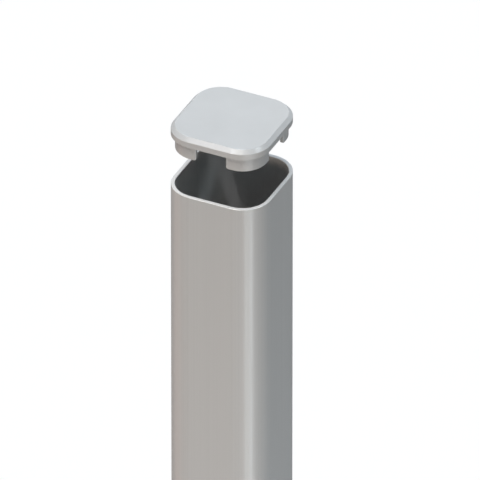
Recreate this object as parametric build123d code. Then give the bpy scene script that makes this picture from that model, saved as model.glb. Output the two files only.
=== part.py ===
from build123d import *
from math import isclose
import os

# A square aluminium fence post with large rounded corners, and the moulded cap that pushes into its top.
# Millimetres. The post stands on z = 0, centred on the Z axis, and its sides face along X and Y.

# Post: one extruded length, sawn square at both ends
POST_LENGTH = 1050.0
POST_WIDTH = 70.0
CORNER_RADIUS = 20.0
WALL_THICKNESS = 2.6
EDGE_BREAK = 0.25

# Cap head: an upright band under a sloping shoulder and a flat top, hollow underneath
BAND_HEIGHT = 4.05
SHOULDER_BEVEL = 2.7
SHOULDER_SOFTENING = 0.5
TOP_THICKNESS = 2.8
HOLLOW_ROUNDING = 1.0

# Cap legs: one round each corner, carried on along the flats, so that every side has a gap in its middle
LEG_LENGTH = 10.9
LEG_THICKNESS = 2.5
LEG_REACH = 4.2
LEG_CORNER_RADIUS = 1.5
LEG_END_CHAMFER = 0.5
LEG_CLEARANCE = 0.2

# The cap is lifted clear of the rim, as it is before it is pushed home
CAP_LIFT = 39.0

# Places that follow from those sizes
HEAD_HEIGHT = BAND_HEIGHT + SHOULDER_BEVEL
LEG_OUTER_INSET = WALL_THICKNESS + LEG_CLEARANCE
LEG_INNER_INSET = LEG_OUTER_INSET + LEG_THICKNESS
LEG_GAP = POST_WIDTH - 2 * (CORNER_RADIUS + LEG_REACH)
SEAT_HEIGHT = POST_LENGTH + CAP_LIFT


def section(inset):
    """The post's rounded square outline, moved inwards by inset all round."""
    width = POST_WIDTH - 2 * inset
    return RectangleRounded(width, width, CORNER_RADIUS - inset)


def post_tube():
    """The hollow post, with the burr taken off both sawn ends."""
    tube = extrude(section(0) - section(WALL_THICKNESS), amount=POST_LENGTH)
    ends = tube.edges().group_by(Axis.Z)
    return chamfer(ends[0] + ends[-1], EDGE_BREAK)


def cap_head():
    """The head that covers the rim, seated at z = 0, its shoulder bevelled and its underside hollowed."""
    head = extrude(section(0), amount=HEAD_HEIGHT)
    head = chamfer(head.edges().group_by(Axis.Z)[-1], SHOULDER_BEVEL)
    shoulder_top = head.edges().group_by(Axis.Z)[-1]
    shoulder_foot = head.edges().filter_by(lambda edge: isclose(edge.center().Z, BAND_HEIGHT))
    head = fillet(shoulder_top + shoulder_foot, SHOULDER_SOFTENING)
    hollow = extrude(section(LEG_INNER_INSET), amount=HEAD_HEIGHT - TOP_THICKNESS)
    hollow = fillet(hollow.edges().group_by(Axis.Z)[-1], HOLLOW_ROUNDING)
    return head - hollow


def leg_elevation():
    """The legs of one side seen square on: a gap between two sheets, with its lower corners rounded."""
    sheets = Pos(0, -LEG_LENGTH / 2) * (Rectangle(POST_WIDTH, LEG_LENGTH) - Rectangle(LEG_GAP, LEG_LENGTH))
    corners = sheets.vertices().filter_by(lambda v: isclose(abs(v.X), LEG_GAP / 2)).group_by(Axis.Y)[0]
    return Plane.XZ * fillet(corners, LEG_CORNER_RADIUS)


def is_leg_end(edge):
    """Whether an upright edge is where a leg's outside meets the gap."""
    near, far = sorted((abs(edge.center().X), abs(edge.center().Y)))
    return isclose(near, LEG_GAP / 2) and isclose(far, POST_WIDTH / 2 - LEG_OUTER_INSET)


def cap_legs():
    """Four corner blocks below z = 0, their ends chamfered, then hollowed to thin legs."""
    across = extrude(leg_elevation(), amount=POST_WIDTH / 2, both=True)
    blocks = extrude(section(LEG_OUTER_INSET), amount=-LEG_LENGTH) & across & Rot(0, 0, 90) * across
    blocks = chamfer(blocks.edges().filter_by(Axis.Z).filter_by(is_leg_end), LEG_END_CHAMFER)
    return blocks - extrude(section(LEG_INNER_INSET), amount=-LEG_LENGTH)


def post_cap():
    """The whole moulding, raised over the post."""
    return Pos(0, 0, SEAT_HEIGHT) * (cap_head() + cap_legs())


os.makedirs("parts", exist_ok=True)
export_step(post_tube(), "parts/post_tube.step")
export_step(post_cap(), "parts/post_cap.step")
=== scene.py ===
from math import cos, pi, radians, sin

import bpy
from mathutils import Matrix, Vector


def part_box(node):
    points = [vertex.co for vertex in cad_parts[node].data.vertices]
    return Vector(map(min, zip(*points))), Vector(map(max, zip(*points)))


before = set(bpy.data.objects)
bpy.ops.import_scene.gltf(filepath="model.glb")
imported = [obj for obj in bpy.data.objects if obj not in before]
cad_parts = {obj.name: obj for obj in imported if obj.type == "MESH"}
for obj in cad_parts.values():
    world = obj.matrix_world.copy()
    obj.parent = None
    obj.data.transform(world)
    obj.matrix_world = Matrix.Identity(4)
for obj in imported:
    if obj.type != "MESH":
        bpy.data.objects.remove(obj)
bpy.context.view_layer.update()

# The post, in metres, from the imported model
POST_LOW, POST_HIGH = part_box("post_tube")
RIM_HEIGHT = POST_HIGH.z
POST_WIDTH = POST_HIGH.x - POST_LOW.x

# The photograph: a view from the front right and above, with no visible perspective
VIEW_AZIMUTH = 25.3
VIEW_ELEVATION = 33.7
PHOTO_SIDE = 480
POST_WIDTH_PIXELS = 106.9
RIM_PIXEL = (231.85, 176.4)

# Camera: its lens and sensor in millimetres, the nearest and farthest that it sees in metres
LENS = 1500.0
SENSOR = 36.0
NEAREST = 0.1
FARTHEST = 200.0

# Surfaces: lengths in metres, the rest as the shader takes them
SHINE = 0.12
GREYS = (0.59, 0.65)
# Ends facing up and down are painted lighter than the sides: painted light that makes up for the cap's
# shade on the rim
ENDS_PAINTED_LIGHTER_GREY = 0.88
DIE_LINES = (0.0009, 0.0009, 0.4)
DIE_LINE_DEPTH = 0.000004
POST_CLOUDS = (0.03, 0.03, 0.12)
POST_ROUGHNESS = (0.225, 0.265)
CAP_GRAIN = (0.0006, 0.0006, 0.0006)
CAP_GRAIN_DEPTH = 0.000006
CAP_CLOUDS = (0.02, 0.02, 0.02)
CAP_ROUGHNESS = (0.28, 0.34)
NOISE_MIDDLE = (0.3, 0.7)

# Floor
FLOOR_GREY = 0.15
FLOOR_LIFT = 0.85
FLOOR_ROUGHNESS = 0.9
FLOOR_HALF = 60.0

# Strip lamps, in metres from the post's axis and from the floor
STRIP_DISTANCE = 0.8
STRIP_LOW = 0.02
STRIP_HIGH = 0.65

# Colours that are used more than once
WHITE = (1.0, 1.0, 1.0)
WARM = (1.0, 0.85, 0.72)


def direction(azimuth, elevation):
    """Points away from the post: azimuth 0 to its front, 90 to its right, in degrees."""
    a = radians(azimuth)
    e = radians(elevation)
    return Vector((sin(a) * cos(e), -cos(a) * cos(e), sin(e)))


def grey(value):
    """A plain grey, as a shader's socket takes it."""
    return (value, value, value, 1.0)


def add_object(name, data):
    """A new object in the scene."""
    made = bpy.data.objects.new(name, data)
    bpy.context.scene.collection.objects.link(made)
    return made


def make_camera():
    """A very long lens from far away, aimed so that the rim's centre lies where the photograph has it."""
    back = direction(VIEW_AZIMUTH, VIEW_ELEVATION)
    right = Vector((0.0, 0.0, 1.0)).cross(back).normalized()
    up = back.cross(right)
    pixel = POST_WIDTH / POST_WIDTH_PIXELS
    aim = Vector((0.0, 0.0, RIM_HEIGHT))
    aim = aim - right * (RIM_PIXEL[0] - PHOTO_SIDE / 2) * pixel
    aim = aim + up * (RIM_PIXEL[1] - PHOTO_SIDE / 2) * pixel
    data = bpy.data.cameras.new("camera")
    data.lens = LENS
    data.sensor_width = SENSOR
    data.clip_start = NEAREST
    data.clip_end = FARTHEST
    camera = add_object("camera", data)
    camera.location = aim + back * pixel * PHOTO_SIDE * LENS / SENSOR
    camera.rotation_euler = back.to_track_quat("Z", "Y").to_euler()
    bpy.context.scene.camera = camera


def far_lamp(name, azimuth, elevation, angle, strength, colour):
    """A distant soft lamp; a strength of 1 shows a surface that faces it squarely at its own colour."""
    data = bpy.data.lights.new(name, "SUN")
    data.energy = strength * pi
    data.angle = radians(angle)
    data.color = colour
    lamp = add_object(name, data)
    lamp.rotation_euler = direction(azimuth, elevation).to_track_quat("Z", "Y").to_euler()


def strip_lamp(name, azimuth, width, radiance, colour):
    """An upright strip standing near the floor and facing the post."""
    data = bpy.data.lights.new(name, "AREA")
    data.shape = "RECTANGLE"
    data.size = width
    data.size_y = STRIP_HIGH - STRIP_LOW
    data.energy = radiance * pi * width * data.size_y
    data.color = colour
    lamp = add_object(name, data)
    outward = direction(azimuth, 0.0)
    lamp.location = outward * STRIP_DISTANCE + Vector((0.0, 0.0, (STRIP_LOW + STRIP_HIGH) / 2))
    lamp.rotation_euler = outward.to_track_quat("Z", "Y").to_euler()
    lamp.visible_camera = False


def principled(name, metallic):
    """A new material, its node tree and its shader, which has no gloss apart from its metal part."""
    material = bpy.data.materials.new(name)
    material.use_nodes = True
    tree = material.node_tree
    shader = tree.nodes["Principled BSDF"]
    shader.inputs["Metallic"].default_value = metallic
    shader.inputs["Specular IOR Level"].default_value = 0.0
    return material, tree, shader


def noise(tree, size, detail):
    """Noise with features of the given size along each axis, in metres."""
    place = tree.nodes.new("ShaderNodeTexCoord")
    mapping = tree.nodes.new("ShaderNodeMapping")
    mapping.inputs["Scale"].default_value = [1.0 / s for s in size]
    tree.links.new(place.outputs["Object"], mapping.inputs["Vector"])
    texture = tree.nodes.new("ShaderNodeTexNoise")
    texture.inputs["Scale"].default_value = 1.0
    texture.inputs["Detail"].default_value = detail
    tree.links.new(mapping.outputs["Vector"], texture.inputs["Vector"])
    return texture.outputs["Fac"]


def stretch(tree, value, low, high):
    """The middle part of a noise, stretched to run from low to high."""
    node = tree.nodes.new("ShaderNodeMapRange")
    node.inputs["From Min"].default_value = NOISE_MIDDLE[0]
    node.inputs["From Max"].default_value = NOISE_MIDDLE[1]
    node.inputs["To Min"].default_value = low
    node.inputs["To Max"].default_value = high
    tree.links.new(value, node.inputs["Value"])
    return node.outputs["Result"]


def shade_between(tree, value, dark, light):
    """A colour that runs from a dark grey to a light one as a value runs from 0 to 1."""
    ramp = tree.nodes.new("ShaderNodeValToRGB")
    ramp.color_ramp.elements[0].color = grey(dark)
    ramp.color_ramp.elements[1].color = grey(light)
    tree.links.new(value, ramp.inputs["Fac"])
    return ramp.outputs["Color"]


def on_ends(tree):
    """A value of 1 where the surface faces straight up or down, and 0 on the sides."""
    place = tree.nodes.new("ShaderNodeTexCoord")
    axes = tree.nodes.new("ShaderNodeSeparateXYZ")
    tree.links.new(place.outputs["Normal"], axes.inputs["Vector"])
    upright = tree.nodes.new("ShaderNodeMath")
    upright.operation = "ABSOLUTE"
    tree.links.new(axes.outputs["Z"], upright.inputs[0])
    return upright.outputs["Value"]


def turn_grey(tree, value, start, end_grey):
    """A colour that turns into a plain grey as a value runs from 0 to 1."""
    mix = tree.nodes.new("ShaderNodeMix")
    mix.data_type = "RGBA"
    tree.links.new(value, mix.inputs["Factor"])
    tree.links.new(start, mix.inputs["A"])
    mix.inputs["B"].default_value = grey(end_grey)
    return mix.outputs["Result"]


def raise_surface(tree, shader, height, depth):
    """Bumps the surface by a height between 0 and 1, depth metres deep."""
    bump = tree.nodes.new("ShaderNodeBump")
    bump.inputs["Strength"].default_value = 1.0
    bump.inputs["Distance"].default_value = depth
    tree.links.new(height, bump.inputs["Height"])
    tree.links.new(bump.outputs["Normal"], shader.inputs["Normal"])


def seen_directly(tree):
    """A value of 1 for rays that look straight, in a mirror or through glass, and 0 for light."""
    path = tree.nodes.new("ShaderNodeLightPath")
    seen = path.outputs["Is Camera Ray"]
    for ray in ("Is Glossy Ray", "Is Transmission Ray"):
        either = tree.nodes.new("ShaderNodeMath")
        either.operation = "MAXIMUM"
        tree.links.new(seen, either.inputs[0])
        tree.links.new(path.outputs[ray], either.inputs[1])
        seen = either.outputs["Value"]
    return seen


def post_finish():
    """Satin aluminium: fine lines from the die along its length, and the sawn ends facing up and down
    painted lighter, a painted brightening that stands in for light the cap shades off the rim.
    """
    material, tree, shader = principled("satin_aluminium", metallic=SHINE)
    lines = noise(tree, DIE_LINES, detail=3.0)
    sides = shade_between(tree, lines, *GREYS)
    # Painted light: the ends facing up and down turn a lighter grey, standing in for light that the cap
    # shades off the rim
    tree.links.new(turn_grey(tree, on_ends(tree), sides, ENDS_PAINTED_LIGHTER_GREY), shader.inputs["Base Color"])
    sheen = stretch(tree, noise(tree, POST_CLOUDS, detail=2.0), *POST_ROUGHNESS)
    tree.links.new(sheen, shader.inputs["Roughness"])
    raise_surface(tree, shader, lines, DIE_LINE_DEPTH)
    return material


def cap_finish():
    """Moulded plastic: a fine even grain over the whole surface."""
    material, tree, shader = principled("cap_moulding", metallic=SHINE)
    grain = noise(tree, CAP_GRAIN, detail=2.0)
    clouds = shade_between(tree, noise(tree, CAP_CLOUDS, detail=2.0), *GREYS)
    tree.links.new(clouds, shader.inputs["Base Color"])
    tree.links.new(stretch(tree, grain, *CAP_ROUGHNESS), shader.inputs["Roughness"])
    raise_surface(tree, shader, grain, CAP_GRAIN_DEPTH)
    return material


def paint(node, material):
    """Puts a material on a carried-over node."""
    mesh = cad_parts[node].data
    mesh.materials.clear()
    mesh.materials.append(material)


def make_floor():
    """A plain floor; its own light lifts what is seen of it to white and leaves the post's shadow."""
    mesh = bpy.data.meshes.new("floor")
    side = FLOOR_HALF
    corners = [(-side, -side, 0), (side, -side, 0), (side, side, 0), (-side, side, 0)]
    mesh.from_pydata(corners, [], [(0, 1, 2, 3)])
    material, tree, shader = principled("floor", metallic=0.0)
    shader.inputs["Base Color"].default_value = grey(FLOOR_GREY)
    shader.inputs["Roughness"].default_value = FLOOR_ROUGHNESS
    shader.inputs["Emission Color"].default_value = grey(1.0)
    lift = tree.nodes.new("ShaderNodeMath")
    lift.operation = "MULTIPLY"
    tree.links.new(seen_directly(tree), lift.inputs[0])
    lift.inputs[1].default_value = FLOOR_LIFT
    tree.links.new(lift.outputs["Value"], shader.inputs["Emission Strength"])
    mesh.materials.append(material)
    add_object("floor", mesh)


def make_world():
    """White wherever it is seen, and no light of its own."""
    world = bpy.data.worlds.new("world")
    bpy.context.scene.world = world
    world.use_nodes = True
    tree = world.node_tree
    background = tree.nodes["Background"]
    background.inputs["Color"].default_value = grey(1.0)
    tree.links.new(seen_directly(tree), background.inputs["Strength"])


def make_lamps():
    """Soft light from far away, and strips near the floor that the round corners mirror."""
    # Azimuth, elevation and angle in degrees, then strength and colour
    far_lamp("overhead", 0, 90, 30, 0.34, (0.47, 0.7, 0.93))
    far_lamp("front_top", -8, 70, 40, 0.54, (1.0, 0.93, 0.84))
    far_lamp("key", -25, 52.4, 2.5, 0.077, (0.95, 0.95, 1.0))
    far_lamp("low_fill_left", -12, 3, 8, 0.12, WARM)
    far_lamp("low_fill_right", 16, 3, 8, 0.115, WARM)
    far_lamp("side_fill", 60, 30, 30, 0.02, (0.4, 0.85, 1.0))
    far_lamp("left_fill", -110, 50, 30, 0.12, (0.95, 0.97, 1.0))
    far_lamp("right_lamp", 99, 47, 5, 0.095, (0.85, 0.95, 1.0))
    far_lamp("back_fill", 180, 20, 30, 0.26, WHITE)
    # Azimuth in degrees, width in metres, then radiance and colour
    strip_lamp("side_strip", 70, 0.12, 0.9, WHITE)
    strip_lamp("corner_strip", 57, 0.12, 3.7, (0.88, 0.96, 1.0))
    strip_lamp("inner_strip", 48, 0.14, 1.5, WHITE)
    strip_lamp("front_strip", 38, 0.14, 2.15, (0.93, 1.0, 1.0))
    strip_lamp("wide_strip", 25, 0.2, 0.3, (1.0, 0.7, 0.7))
    strip_lamp("left_strip", -80, 0.5, 0.65, (1.0, 0.6, 0.5))


make_camera()
make_floor()
make_world()
make_lamps()
paint("post_tube", post_finish())
paint("post_cap", cap_finish())
bpy.context.scene.view_settings.view_transform = "Standard"
